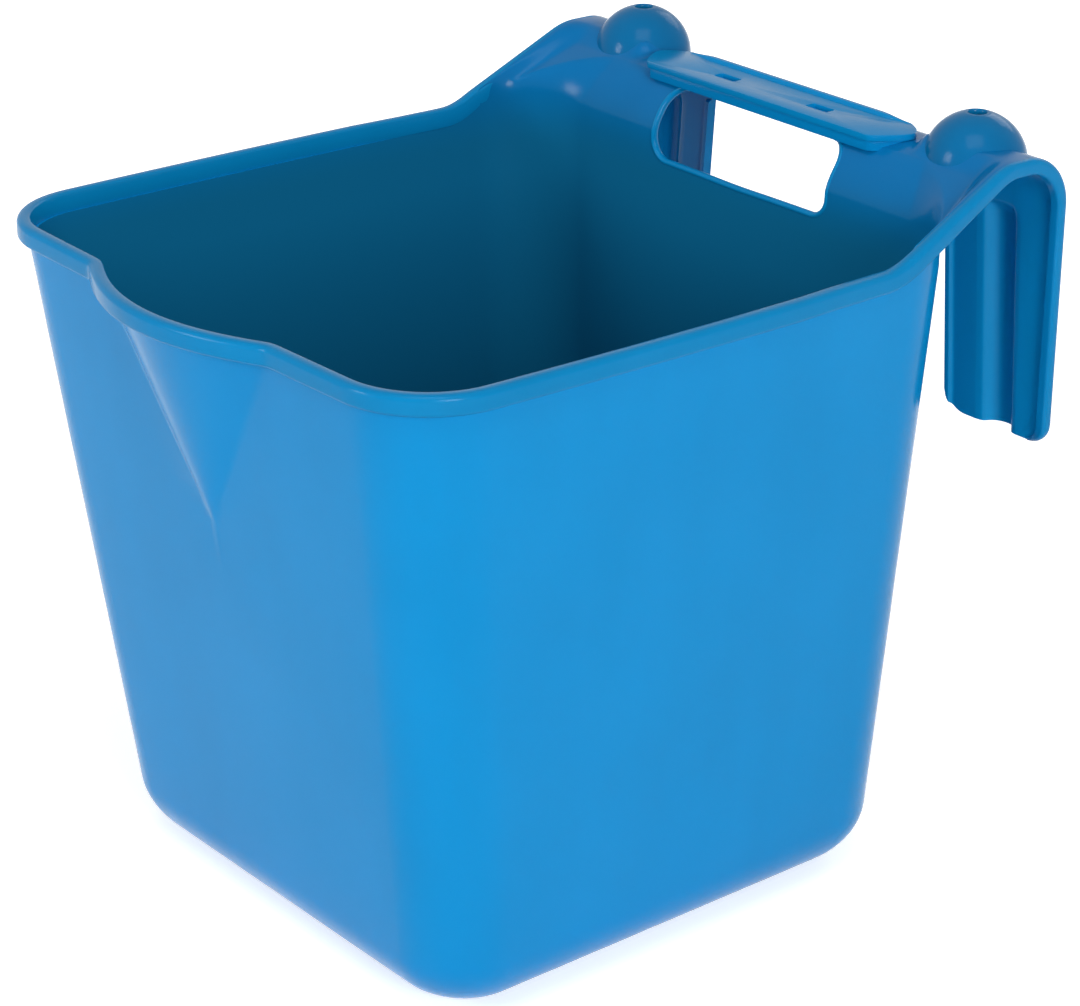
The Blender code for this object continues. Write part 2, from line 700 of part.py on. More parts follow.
def main():
    for obj in list(bpy.data.objects):
        bpy.data.objects.remove(obj, do_unlink=True)
    hole = build_hole_cutter()
    tub = build_tub()
    combine(tub, hole, 'DIFFERENCE')
    build_rim_band()
    skins = []
    for side, word in ((-1, "left"), (1, "right")):
        skins.append(skin_cutter(side, word + "_skin"))
        build_hook(side, word + "_hook", hole)
        build_hook_band(side, word + "_hook_band")
        build_dome(side, word + "_dome", skins[-1])
    build_handle(skins)
    build_plate()


main()
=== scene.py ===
"""Looks of the hook-over feed trough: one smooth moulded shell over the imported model.

The tub and both hooks are one skin, the rim bead runs on over both hooks, and the domes,
handle and hand hole get their rounded edges. Metres, +Z up, spout at -Y.
"""
import math

import bmesh
import bpy
from mathutils import Matrix, Vector
from mathutils.bvhtree import BVHTree


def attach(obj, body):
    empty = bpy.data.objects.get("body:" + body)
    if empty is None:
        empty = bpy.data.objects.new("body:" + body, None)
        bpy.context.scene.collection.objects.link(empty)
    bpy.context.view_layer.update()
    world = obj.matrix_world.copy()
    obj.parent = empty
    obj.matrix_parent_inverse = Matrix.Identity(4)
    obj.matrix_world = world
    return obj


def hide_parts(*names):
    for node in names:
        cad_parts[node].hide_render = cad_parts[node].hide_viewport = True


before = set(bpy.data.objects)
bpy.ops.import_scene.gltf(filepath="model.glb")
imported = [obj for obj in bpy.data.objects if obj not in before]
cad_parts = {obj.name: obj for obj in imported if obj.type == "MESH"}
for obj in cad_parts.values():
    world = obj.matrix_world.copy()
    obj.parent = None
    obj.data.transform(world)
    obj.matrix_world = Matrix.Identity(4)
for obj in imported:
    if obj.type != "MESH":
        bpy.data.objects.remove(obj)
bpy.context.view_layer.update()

# Sizes, the same as the solids have
RIM_HEIGHT = 0.2755
TOP_WIDTH = 0.2736
TOP_DEPTH = 0.2758
BASE_WIDTH = 0.2258
BASE_DEPTH = 0.2322
TOP_SHIFT = -0.0128
TOP_CORNER_RADIUS = 0.036
BASE_CORNER_RADIUS = 0.0298
BASE_FILLET = 0.027
WALL = 0.0024
BASE_THICKNESS = 0.0028
RIM_BOW = 0.0014
SPOUT_HALF_WIDTH = 0.0567
SPOUT_REACH = 0.0160
SPOUT_DEPTH = 0.091
BAND_HEIGHT = 0.0081
BAND_PROUD = 0.0030
RAIL_GAP = 0.0482
HOOK_WALL = 0.0027
CREST_RISE = 0.0288
CREST_RADIUS = 0.0230
CREST_FLAT = 0.0068
CREST_DROP = 0.0050
RAMP_LENGTH = 0.0730
RAMP_BLEND = 0.0126
SHOULDER_ROUND = 0.0144
SHOULDER_ROUND_SIDE = 0.0045
HOOK_EDGE_INSET = 0.0045
DOME_INSET = 0.0316
DECK_SAG = 0.0055
SAG_EDGE = 0.0143
SAG_FADE = 0.0130
SAG_RETURN = 0.0102
LEG_WIDTH = 0.0600
LEG_DROP = 0.0965
LEG_TAPER = 0.0066
LEG_CORNER = 0.009
LEG_RIB_WIDTH = 0.0027
LEG_RIB_DEPTH = 0.0018
FLUTE_HALF_WIDTH = 0.0079
FLUTE_DEPTH = 0.0068
FLUTE_FADE = 0.008
BAND_CREST_DEPTH = 0.0065
BAND_LEG_DEPTH = 0.0054
HOLE_HALF_WIDTH = 0.0527
HOLE_BELOW_RIM = 0.0108
HOLE_CORNER = 0.0090
PLATE_THICKNESS = 0.0025
PLATE_OVERHANG = 0.0008
PLATE_END_LENGTH = 0.0110
PLATE_END_CLEARANCE = 0.0025
HANDLE_FRONT_SETBACK = 0.0062
HANDLE_DEPTH = 0.0240
HANDLE_SKIRT = 0.0045
HANDLE_WALL = 0.0027
LIP_HEIGHT = 0.0012
LIP_THICKNESS = 0.0031
SLOT_OFFSET = 0.0280
SLOT_LENGTH = 0.0126
SLOT_WIDTH = 0.0054
DOME_RADIUS = 0.0212
DOME_WALL = 0.0024
DOME_BELOW_CREST = 0.0102
DOME_HOLE_RADIUS = 0.0038
JOIN_GAP = 0.0003

# Small sizes and shares of the dressed surfaces
HOLE_GROW = 0.0009
HOLE_RIM_HALF_DEPTH = 0.0017
HOLE_RIM_HALF_WIDTH = 0.0013
HOLE_RIM_INSET = 0.0007
HOLE_RIM_SPACING = 0.003
BEAD_TOP_ROUND = 0.0024
BEAD_LOW_ROUND = 0.0015
BEAD_TUCK = 0.0004
BEAD_INNER = 0.0016
UNDER_OFFSET = -0.0003
BAR_EDGE = 0.0006
PLATE_EDGE = 0.0007
LIP_TAPER = 0.016
SPOUT_SHARE = 0.998
BEAD_SHARE = 0.996
DROP_END_SHARE = 0.69
DROP_RUN_SHARE = 0.33

# Surface of the plastic, and the heights of the painted shade inside the tub
PLASTIC_IOR = 1.49
PLASTIC_SPECULAR = 0.08
INSIDE_SHADE_TOP = 0.292
INSIDE_SHADE_UPPER = 0.255
INSIDE_SHADE_MIDDLE = 0.22
INSIDE_SHADE_LOW = 0.07

# Camera solved on the photo's outlines, and the stage
CAMERA_PLACE = (0.96516, -0.77157, 0.68814)
CAMERA_RIGHT = (0.6423, 0.7664, 0.0133)
CAMERA_UP = (-0.3106, 0.2444, 0.9186)
CAMERA_LENS = 110.40
CAMERA_SHIFT = (-0.04844, -0.00375)
FLOOR_HALF_SIZE = 6.0
FLOOR_COLOUR = (0.93, 0.93, 0.93)
FLOOR_GLOW = 0.55
FLOOR_FADE_START = 0.45
FLOOR_FADE_END = 1.3
SKY_STRENGTH = 0.26

PLATE_END = ((0.0, 0.0), (0.1, 0.015), (0.24, 0.06), (0.46, 0.17), (0.66, 0.29), (0.83, 0.41),
             (0.93, 0.50), (0.99, 0.58), (1.0, 0.63), (0.96, 0.69), (0.86, 0.76), (0.62, 0.86),
             (0.34, 0.93), (0.12, 0.98))

SEAT = RIM_HEIGHT - BAND_HEIGHT
LEG_OUTER = TOP_WIDTH / 2 - HOOK_EDGE_INSET
LEG_INNER = LEG_OUTER - LEG_WIDTH
HOOK_CENTRE = LEG_OUTER - DOME_INSET
CREST_HEIGHT = RIM_HEIGHT + CREST_RISE
BACK_TOP = TOP_SHIFT + TOP_DEPTH / 2
LEG_BACK = BACK_TOP + RAIL_GAP + HOOK_WALL
CREST_END = LEG_BACK - CREST_RADIUS
CREST_START = CREST_END - CREST_FLAT
RAMP_START = CREST_START - RAMP_LENGTH
RAMP_SLOPE = CREST_RISE / (RAMP_LENGTH - RAMP_BLEND)
LEG_BOTTOM = RIM_HEIGHT - LEG_DROP
PLATE_BOTTOM = CREST_HEIGHT - CREST_DROP + JOIN_GAP
PLATE_TOP = PLATE_BOTTOM + PLATE_THICKNESS
SKIRT_BOTTOM = PLATE_BOTTOM - HANDLE_SKIRT
HOLE_BOTTOM = RIM_HEIGHT - HOLE_BELOW_RIM
HANDLE_FRONT = BACK_TOP + HANDLE_FRONT_SETBACK
HANDLE_BACK = HANDLE_FRONT + HANDLE_DEPTH
HANDLE_END = HOLE_HALF_WIDTH - HOLE_CORNER

# Counts of divisions
SPOUT_STEPS = 26
FRONT_STEPS = 5
CORNER_STEPS = 14
SIDE_STEPS = 9
FOOT_STEPS = 7
ARC_STEPS = 34
STRAIGHT_STEPS = 42
MIDDLE_STEPS = 5
FILLET_STEPS = 12
SHOULDER_STEPS = 9
RAMP_STEPS = 16
CREST_STEPS = 14


def lerp(a, b, t):
    return a + (b - a) * t


def smooth(t):
    t = min(max(t, 0.0), 1.0)
    return t * t * (3 - 2 * t)


# Materials
def plastic(name, colour, rough=0.17, mottle=0.05, wave=0.30, painted_depth_shades=None):
    """Moulded polypropylene: cloudy colour, flow streaks, orange peel and uneven gloss.

    The last argument gives two more colours of painted shade, for low down in the tub and for its upper half.
    """
    mat = bpy.data.materials.new(name)
    mat.use_nodes = True
    tree = mat.node_tree
    shader = tree.nodes["Principled BSDF"]
    shader.inputs["IOR"].default_value = PLASTIC_IOR
    shader.inputs["Specular IOR Level"].default_value = PLASTIC_SPECULAR
    place = tree.nodes.new("ShaderNodeTexCoord")

    def noise(scale, detail, stretch=None):
        node = tree.nodes.new("ShaderNodeTexNoise")
        node.inputs["Scale"].default_value = scale
        node.inputs["Detail"].default_value = detail
        if stretch:
            mapping = tree.nodes.new("ShaderNodeMapping")
            mapping.inputs["Scale"].default_value = stretch
            tree.links.new(place.outputs["Object"], mapping.inputs["Vector"])
            tree.links.new(mapping.outputs["Vector"], node.inputs["Vector"])
        else:
            tree.links.new(place.outputs["Object"], node.inputs["Vector"])
        return node.outputs["Fac"]

    cloud = noise(14, 3)
    streak = noise(34, 2, (1.0, 1.0, 0.10))
    both = tree.nodes.new("ShaderNodeMath")
    both.operation = 'MULTIPLY_ADD'
    tree.links.new(cloud, both.inputs[0])
    both.inputs[1].default_value = 0.6
    share = tree.nodes.new("ShaderNodeMath")
    share.operation = 'MULTIPLY'
    tree.links.new(streak, share.inputs[0])
    share.inputs[1].default_value = 0.4
    tree.links.new(share.outputs[0], both.inputs[2])
    ramp = tree.nodes.new("ShaderNodeValToRGB")
    ramp.color_ramp.elements[0].position = 0.30
    ramp.color_ramp.elements[1].position = 0.70
    ramp.color_ramp.elements[0].color = (*[c * (1 - mottle) for c in colour], 1)
    ramp.color_ramp.elements[1].color = (*[min(1.0, c * (1 + mottle)) for c in colour], 1)
    tree.links.new(both.outputs[0], ramp.inputs["Fac"])
    # Painted shade: by height, the colour goes from the two shade colours low down to the material's own
    # colour near the rim.
    if painted_depth_shades:
        parts = tree.nodes.new("ShaderNodeSeparateXYZ")
        tree.links.new(place.outputs["Object"], parts.inputs[0])
        level = tree.nodes.new("ShaderNodeMapRange")
        level.interpolation_type = 'SMOOTHSTEP'
        level.inputs["From Min"].default_value = INSIDE_SHADE_UPPER
        level.inputs["From Max"].default_value = INSIDE_SHADE_TOP
        tree.links.new(parts.outputs["Z"], level.inputs["Value"])
        mix = tree.nodes.new("ShaderNodeMix")
        mix.data_type = 'RGBA'
        depth = tree.nodes.new("ShaderNodeMapRange")
        depth.inputs["From Min"].default_value = INSIDE_SHADE_LOW
        depth.inputs["From Max"].default_value = INSIDE_SHADE_MIDDLE
        tree.links.new(parts.outputs["Z"], depth.inputs["Value"])
        below = tree.nodes.new("ShaderNodeValToRGB")
        below.color_ramp.interpolation = 'EASE'
        for element, shade_there in zip(below.color_ramp.elements, painted_depth_shades):
            element.color = (*shade_there, 1)
        tree.links.new(depth.outputs["Result"], below.inputs["Fac"])
        tree.links.new(below.outputs["Color"], mix.inputs["A"])
        tree.links.new(level.outputs["Result"], mix.inputs["Factor"])
        tree.links.new(ramp.outputs["Color"], mix.inputs["B"])
        tree.links.new(mix.outputs["Result"], shader.inputs["Base Color"])
    else:
        tree.links.new(ramp.outputs["Color"], shader.inputs["Base Color"])

    gloss = tree.nodes.new("ShaderNodeMapRange")
    gloss.inputs["From Min"].default_value = 0.3
    gloss.inputs["From Max"].default_value = 0.7
    gloss.inputs["To Min"].default_value = rough - 0.04
    gloss.inputs["To Max"].default_value = rough + 0.05
    tree.links.new(noise(48, 3), gloss.inputs["Value"])
    tree.links.new(gloss.outputs["Result"], shader.inputs["Roughness"])

    peel = tree.nodes.new("ShaderNodeBump")
    peel.inputs["Strength"].default_value = 0.16
    peel.inputs["Distance"].default_value = 0.00025
    tree.links.new(noise(620, 2), peel.inputs["Height"])
    broad = tree.nodes.new("ShaderNodeBump")
    broad.inputs["Strength"].default_value = wave
    broad.inputs["Distance"].default_value = 0.003
    tree.links.new(noise(9, 1), broad.inputs["Height"])
    tree.links.new(peel.outputs["Normal"], broad.inputs["Normal"])
    tree.links.new(broad.outputs["Normal"], shader.inputs["Normal"])
    return mat


TUB_BLUE = plastic("tub_blue", (0.0015, 0.230, 0.540))
# Painted shade: the inside faces are the tub's plastic coloured darker, darkest a little below the rim and
# lighter towards the bottom, for the shade inside the tub.
INSIDE_PAINTED_SHADE = plastic("tub_inside_painted_shade", (0.0015, 0.145, 0.380),
                      painted_depth_shades=((0.006, 0.175, 0.340), (0.004, 0.118, 0.245)))
# Painted shade: the legs are a darker, greener copy of the tub's plastic, for the shade under the hooks.
LEG_PAINTED_SHADE = plastic("leg_painted_shade", (0.0020, 0.224, 0.480), 0.17, 0.05, 0.12)
# Painted shade: the rim bead and the hand hole's rim are a darker copy of the tub's plastic, toning down the
# light along them.
BEAD_PAINTED_SHADE = plastic("bead_painted_shade", (0.0015, 0.190, 0.430), 0.21, 0.04, 0.12)
# Painted shade: the domes are a much darker copy of the tub's plastic, for the shade they show.
DOME_PAINTED_SHADE = plastic("dome_painted_shade", (0.0015, 0.133, 0.320), 0.15, 0.04, 0.08)
# Painted shade: the handle bar and its top plate are slightly darker copies of the tub's plastic, the
# up-facing plate the darker.
HANDLE_PAINTED_SHADE = plastic("handle_painted_shade", (0.0015, 0.215, 0.510), 0.17, 0.05, 0.12)
PLATE_PAINTED_SHADE = plastic("plate_painted_shade", (0.0015, 0.215, 0.490), 0.17, 0.05, 0.12)


def add_piece(name, bm, mat, nodes, sharp=38):
    """Turn a bmesh into a piece that rides on the trough."""
    bmesh.ops.recalc_face_normals(bm, faces=bm.faces)
    mesh = bpy.data.meshes.new(name)
    bm.to_mesh(mesh)
    bm.free()
    obj = bpy.data.objects.new(name, mesh)
    bpy.context.scene.collection.objects.link(obj)
    mesh.materials.append(mat)
    shade(obj, sharp)
    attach(obj, "root")
    if nodes:
        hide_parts(*nodes)
    return obj


def shade(obj, sharp):
    obj.data.shade_smooth()
    obj.data.set_sharp_from_angle(angle=math.radians(sharp))


def helper(name, bm):
    bmesh.ops.recalc_face_normals(bm, faces=bm.faces)
    mesh = bpy.data.meshes.new(name)
    bm.to_mesh(mesh)
    bm.free()
    obj = bpy.data.objects.new(name, mesh)
    bpy.context.scene.collection.objects.link(obj)
    return obj


def apply_modifiers(obj):
    """Keep the result of the modifiers as the piece's own mesh."""
    graph = bpy.context.evaluated_depsgraph_get()
    mesh = bpy.data.meshes.new_from_object(obj.evaluated_get(graph))
    obj.modifiers.clear()
    obj.data = mesh


def cut(obj, other, operation='DIFFERENCE', keep=False):
    mod = obj.modifiers.new("cut", 'BOOLEAN')
    mod.operation = operation
    mod.solver = 'EXACT'
    mod.object = other
    apply_modifiers(obj)
    if not keep:
        bpy.data.objects.remove(other, do_unlink=True)


def round_edges(obj, width, segments=3, angle=30):
    mod = obj.modifiers.new("round", 'BEVEL')
    mod.width = width
    mod.segments = segments
    mod.limit_method = 'ANGLE'
    mod.angle_limit = math.radians(angle)
    mod.miter_outer = 'MITER_ARC'
    mod.use_clamp_overlap = True
    apply_modifiers(obj)


# Outline of the tub
def outline_sizes(z, inset, corner_inset):
    t = z / RIM_HEIGHT
    half = lerp(BASE_WIDTH, TOP_WIDTH, t) / 2 - inset
    half_depth = lerp(BASE_DEPTH, TOP_DEPTH, t) / 2 - inset
    full = lerp(BASE_CORNER_RADIUS, TOP_CORNER_RADIUS, t)
    radius = max(full - corner_inset, full * 0.12)
    return half, TOP_SHIFT * t - half_depth, TOP_SHIFT * t + half_depth, radius


def bow(z):
    return RIM_BOW * z / RIM_HEIGHT


def front_y(x, z, front, flat):
    """The front wall's y at x, with the spout pushed out and its creases softened."""
    t = max(0.0, 1 - (RIM_HEIGHT - z) / SPOUT_DEPTH)
    out = bow(z) * (1 - (x / flat) ** 2)
    if t > 0:
        full = 1 - (x / (SPOUT_HALF_WIDTH * t)) ** 2
        out += SPOUT_REACH * SPOUT_SHARE * t * (full + math.sqrt(full * full + 0.004 / (t * t + 0.02))) / 2
    return front - out


def side_x(y, z, half, front, back, radius):
    middle = (front + back) / 2
    flat = (back - front) / 2 - radius
    return half + bow(z) * max(0.0, 1 - ((y - middle) / flat) ** 2)


def spout_spread(z):
    t = max(0.0, 1 - (RIM_HEIGHT - z) / SPOUT_DEPTH)
    return SPOUT_HALF_WIDTH * max(t, 0.12) * 1.12


def half_ring(z, inset, corner_inset=None):
    """The right half of the outline, from the front centre round to the back centre."""
    corner_inset = inset if corner_inset is None else corner_inset
    half, front, back, radius = outline_sizes(z, inset, corner_inset)
    flat = half - radius
    spread = min(spout_spread(z), flat * 0.9)
    xs = [spread * k / SPOUT_STEPS for k in range(SPOUT_STEPS + 1)]
    xs += [lerp(spread, flat, k / FRONT_STEPS) for k in range(1, FRONT_STEPS)]
    points = [(x, front_y(x, z, front, flat)) for x in xs]
    for k in range(CORNER_STEPS + 1):
        angle = math.radians(-90 + 90 * k / CORNER_STEPS)
        points.append((flat + radius * math.cos(angle), front + radius + radius * math.sin(angle)))
    start, end = front + radius, back - radius
    turn = min(RAMP_START, lerp(start, end, 0.9))
    ys = [lerp(start, turn, k / SIDE_STEPS) for k in range(1, SIDE_STEPS + 1)]
    ys += [lerp(turn, end, k / FOOT_STEPS) for k in range(1, FOOT_STEPS)]
    points += [(side_x(y, z, half, front, back, radius), y) for y in ys]
    for k in range(ARC_STEPS + 1):
        angle = math.radians(90 * k / ARC_STEPS)
        points.append((flat + radius * math.cos(angle), end + radius * math.sin(angle)))
    points += [(lerp(flat, HANDLE_END, k / STRAIGHT_STEPS), back) for k in range(1, STRAIGHT_STEPS + 1)]
    points += [(lerp(HANDLE_END, 0.0, k / MIDDLE_STEPS), back) for k in range(1, MIDDLE_STEPS + 1)]
    return points


FOOT_INDEX = SPOUT_STEPS + FRONT_STEPS + CORNER_STEPS + SIDE_STEPS
HOOK_FIRST = FOOT_INDEX + FOOT_STEPS
HOOK_LAST = HOOK_FIRST + ARC_STEPS + STRAIGHT_STEPS
HALF_COUNT = HOOK_LAST + MIDDLE_STEPS + 1


# The hooks
def ramp_height(y):
    run = y - RAMP_START
    if run <= 0:
        return RIM_HEIGHT
    if run < RAMP_BLEND:
        return RIM_HEIGHT + RAMP_SLOPE * run * run / (2 * RAMP_BLEND)
    if run < RAMP_LENGTH - RAMP_BLEND:
        return RIM_HEIGHT + RAMP_SLOPE * (run - RAMP_BLEND / 2)
    left = max(0.0, RAMP_LENGTH - run)
    return CREST_HEIGHT - RAMP_SLOPE * left * left / (2 * RAMP_BLEND)


def ramp_normal(y):
    rise = ramp_height(y + 0.0005) - ramp_height(y - 0.0005)
    return Vector((0.0, -rise, 0.001)).normalized()


def crest_drop(x):
    end = HOOK_CENTRE - DOME_RADIUS * DROP_END_SHARE
    return CREST_DROP * smooth((end - x) / (DOME_RADIUS * DROP_RUN_SHARE))


def deck_height(x, y):
    sag = DECK_SAG * (1 - smooth((x - LEG_OUTER + SAG_EDGE) / SAG_FADE))
    return ramp_height(y) - lerp(sag, crest_drop(x), smooth((y - CREST_START + SAG_RETURN) / SAG_RETURN))


def deck_normal(x, y):
    rise = deck_height(x, y + 0.001) - deck_height(x, y - 0.001)
    return Vector((0.0, -rise, 0.002)).normalized()


def flute_offset(x):
    """The half-round flute with a soft lip at each side."""
    across = (x - HOOK_CENTRE) / FLUTE_HALF_WIDTH
    depth = 1 - across * across
    return FLUTE_DEPTH * math.sqrt(max(0.0, (depth + math.sqrt(depth * depth + 0.01)) / 2 - 0.002))


def leg_low_end(x):
    away = min(x - LEG_INNER - LEG_TAPER, LEG_OUTER - x)
    short = min(max(0.0, LEG_CORNER - away), LEG_CORNER)
    return LEG_BOTTOM + LEG_CORNER - math.sqrt(LEG_CORNER ** 2 - short ** 2)


HALF_SEAT, _, BACK_SEAT, RADIUS_SEAT = outline_sizes(SEAT, WALL, WALL)
STRAIGHT_RUN = HALF_SEAT - RADIUS_SEAT - HANDLE_END
TOTAL_RUN = STRAIGHT_RUN + math.pi / 2 * RADIUS_SEAT


def wall_start(share):
    run = share * TOTAL_RUN
    if run <= STRAIGHT_RUN:
        return Vector((HANDLE_END + run, BACK_SEAT)), Vector((0.0, 1.0))
    angle = (run - STRAIGHT_RUN) / RADIUS_SEAT
    out = Vector((math.sin(angle), math.cos(angle)))
    return Vector((HALF_SEAT - RADIUS_SEAT, BACK_SEAT - RADIUS_SEAT)) + RADIUS_SEAT * out, out


def hook_edge(y):
    half = outline_sizes(SEAT, 0.0, 0.0)[0]
    foot = BACK_SEAT - RADIUS_SEAT
    return lerp(half, LEG_OUTER, min(1.0, max(0.0, (y - foot) / (CREST_START - foot))))


def hook_column(share):
    """One strip over the hook: points of the upper skin, normals, thicknesses, side shifts."""
    x_leg = lerp(LEG_INNER, LEG_OUTER, share)
    x_crest = lerp(HANDLE_END, LEG_OUTER, share)
    start, out = wall_start(share)
    inward = Vector((-out.x, -out.y, 0.0))
    drop = crest_drop(x_crest)
    rounding = lerp(SHOULDER_ROUND, SHOULDER_ROUND_SIDE, out.x)
    edge = deck_height(x_crest, start.y)
    edge_x = start.x
    first = Vector((start.x, start.y, edge - rounding))
    strip = [(first, inward, WALL, out.x * WALL)]
    end_y = start.y + rounding * lerp(0.95, 1.0, out.x)
    run = (end_y - start.y) / (CREST_START - start.y)
    lean = lerp(0.07, 0.0, out.x) * rounding
    corner = Vector((edge_x, start.y + lean, edge - lerp(0.5, 0.0, out.x) * rounding))
    last = Vector((lerp(edge_x, x_crest, run), end_y, deck_height(x_crest, end_y)))
    for k in range(1, SHOULDER_STEPS + 1):
        t = k / SHOULDER_STEPS
        point = first * (1 - t) ** 2 + corner * (2 * t * (1 - t)) + last * t * t
        normal = inward.lerp(deck_normal(x_crest, end_y), t).normalized()
        strip.append((point, normal, lerp(WALL, HOOK_WALL, t), out.x * WALL))
    for k in range(1, RAMP_STEPS + 1):
        y = lerp(end_y, CREST_START, k / RAMP_STEPS)
        along = (y - start.y) / (CREST_START - start.y)
        point = Vector((lerp(edge_x, x_crest, along), y, deck_height(x_crest, y)))
        normal = deck_normal(x_crest, y) if k < RAMP_STEPS else Vector((0.0, 0.0, 1.0))
        strip.append((point, normal, HOOK_WALL, out.x * WALL * (1 - k / RAMP_STEPS)))
    for k in range(1, CREST_STEPS + 1):
        angle = math.radians(90 * k / CREST_STEPS)
        normal = Vector((0.0, math.sin(angle), math.cos(angle)))
        x = lerp(x_crest, x_leg, smooth(k / CREST_STEPS))
        centre = Vector((x, CREST_END, CREST_HEIGHT - CREST_RADIUS - drop))
        strip.append((centre + normal * CREST_RADIUS, normal, HOOK_WALL, 0.0))
    top = CREST_HEIGHT - CREST_RADIUS - CREST_DROP
    rib = LEG_RIB_DEPTH * smooth((LEG_INNER + LEG_RIB_WIDTH + 0.0007 - x_leg) / 0.0014)
    low = leg_low_end(lerp(LEG_INNER + LEG_TAPER, LEG_OUTER, share))
    drops = [f * FLUTE_FADE for f in (0.12, 0.25, 0.4, 0.55, 0.7, 0.85, 1.0)]
    drops += [lerp(FLUTE_FADE, top - low, f) for f in (0.2, 0.4, 0.6, 0.8, 0.92, 1.0)]
    for t in drops:
        taper = LEG_TAPER * t / (top - LEG_BOTTOM) * min(1.0, (1 - share) * 2.2)
        flute = flute_offset(x_leg) * smooth(t / FLUTE_FADE)
        strip.append((Vector((x_leg + taper, LEG_BACK + flute, top - t)), Vector((0.0, 1.0, 0.0)),
                      HOOK_WALL + rib, 0.0))
    return strip


def column_share(k):
    """k counts from the hook's outer edge (0) to its inner edge."""
    if k <= ARC_STEPS:
        run = STRAIGHT_RUN + (1 - k / ARC_STEPS) * math.pi / 2 * RADIUS_SEAT
    else:
        run = STRAIGHT_RUN * (1 - (k - ARC_STEPS) / STRAIGHT_STEPS)
    return run / TOTAL_RUN


COLUMNS = [hook_column(column_share(k)) for k in range(ARC_STEPS + STRAIGHT_STEPS + 1)]


def wall_levels(fillet_top):
    apex = RIM_HEIGHT - SPOUT_DEPTH
    low = [lerp(fillet_top, apex, k / 7) for k in range(1, 7)]
    return low + [lerp(apex, SEAT, (k / 16) ** 1.15) for k in range(17)]


def tub_rings(outside):
    inset = 0.0 if outside else WALL
    fillet = BASE_FILLET if outside else BASE_FILLET - WALL
    foot = 0.0 if outside else BASE_THICKNESS
    rings = []
    for k in range(FILLET_STEPS + 1):
        angle = math.radians(90 * k / FILLET_STEPS)
        z = foot + fillet * (1 - math.cos(angle))
        more = fillet * (1 - math.sin(angle))
        rings.append((z, half_ring(z, inset + more, inset + more * 0.6)))
    return rings + [(z, half_ring(z, inset)) for z in wall_levels(foot + fillet)]


def build_shell():
    """Tub and hooks as one closed skin."""
    bm = bmesh.new()
    skins = []
    for outside in (True, False):
        rows = []
        for z, half in tub_rings(outside):
            right = [bm.verts.new((x, y, z)) for x, y in half]
            left = [right[0]] + [bm.verts.new((-x, y, z)) for x, y in half[1:-1]] + [right[-1]]
            rows.append((right, left))
        # The outer skin takes slot 0; the inner skin takes slot 1, the painted shade of the inside.
        for low, high in zip(rows, rows[1:]):
            for side in (0, 1):
                for i in range(HALF_COUNT - 1):
                    bm.faces.new((low[side][i], low[side][i + 1], high[side][i + 1],
                                  high[side][i])).material_index = len(skins)
        bm.faces.new(rows[0][0] + rows[0][1][-2:0:-1]).material_index = len(skins)
        skins.append(rows)

    for side, sign in ((0, 1), (1, -1)):
        tops = []
        strips = []
        for n, rows in enumerate(skins):
            ring = rows[-1][side]
            strip = []
            for k, column in enumerate(COLUMNS):
                verts = [ring[HOOK_FIRST + k]]
                for point, normal, thick, shift in column:
                    if n == 1:
                        spot = (sign * point.x, point.y, point.z)
                    else:
                        y = point.y - normal.y * thick
                        x = min(point.x + shift, hook_edge(y))
                        spot = (sign * x, y, point.z - normal.z * thick)
                    verts.append(bm.verts.new(spot))
                strip.append(verts)
            strips.append(strip)
            top = list(ring)
            for i in range(FOOT_INDEX + 1, HOOK_FIRST):
                x, y, z = ring[i].co
                top[i] = bm.verts.new((x, y, max(SEAT + 0.0002, ramp_height(y) - 0.005)))
            top[HOOK_FIRST] = strip[0][1]
            for i in range(FOOT_INDEX, HOOK_FIRST):
                corners = [ring[i], ring[i + 1], top[i + 1], top[i]]
                bm.faces.new(list(dict.fromkeys(corners))).material_index = n
            tops.append(top)
            for a, b in zip(strip, strip[1:]):
                for j in range(len(a) - 1):
                    # The inner skin takes the inside's painted shade; past the middle of the crest both skins
                    # take the legs' painted shade.
                    kind = 1 if n == 1 else 0
                    if j >= SHOULDER_STEPS + RAMP_STEPS + CREST_STEPS // 2:
                        kind = 2
                    bm.faces.new((a[j], b[j], b[j + 1], a[j + 1])).material_index = kind
        outer, inner = tops
        for i in list(range(HOOK_FIRST)) + list(range(HOOK_LAST, HALF_COUNT - 1)):
            bm.faces.new((outer[i], outer[i + 1], inner[i + 1], inner[i]))
        lower, upper = strips
        for k, first in ((0, 1), (len(COLUMNS) - 1, 0)):
            for j in range(first, len(lower[k]) - 1):
                bm.faces.new((lower[k][j], lower[k][j + 1], upper[k][j + 1], upper[k][j]))
        for k in range(len(COLUMNS) - 1):
            bm.faces.new((lower[k][-1], lower[k + 1][-1], upper[k + 1][-1], upper[k][-1]))
    return bm


def rounded_box(x_low, x_high, y_low, y_high, radius, steps=8):
    corners = ((x_high - radius, y_low + radius, -90), (x_high - radius, y_high - radius, 0),
               (x_low + radius, y_high - radius, 90), (x_low + radius, y_low + radius, 180))
    points = []
    for cx, cy, start in corners:
        for k in range(steps + 1):
            angle = math.radians(start + 90 * k / steps)
            points.append((cx + radius * math.cos(angle), cy + radius * math.sin(angle)))
    return points


def prism(outline, axis, low, high):
    bm = bmesh.new()
    rows = []
    for depth in (low, high):
        row = []
        for p in outline:
            spot = list(p)
            spot.insert(axis, depth)
            row.append(bm.verts.new(spot))
        rows.append(row)
        bm.faces.new(row)
    for i in range(len(outline)):
        j = (i + 1) % len(outline)
        bm.faces.new((rows[0][i], rows[0][j], rows[1][j], rows[1][i]))
    return bm


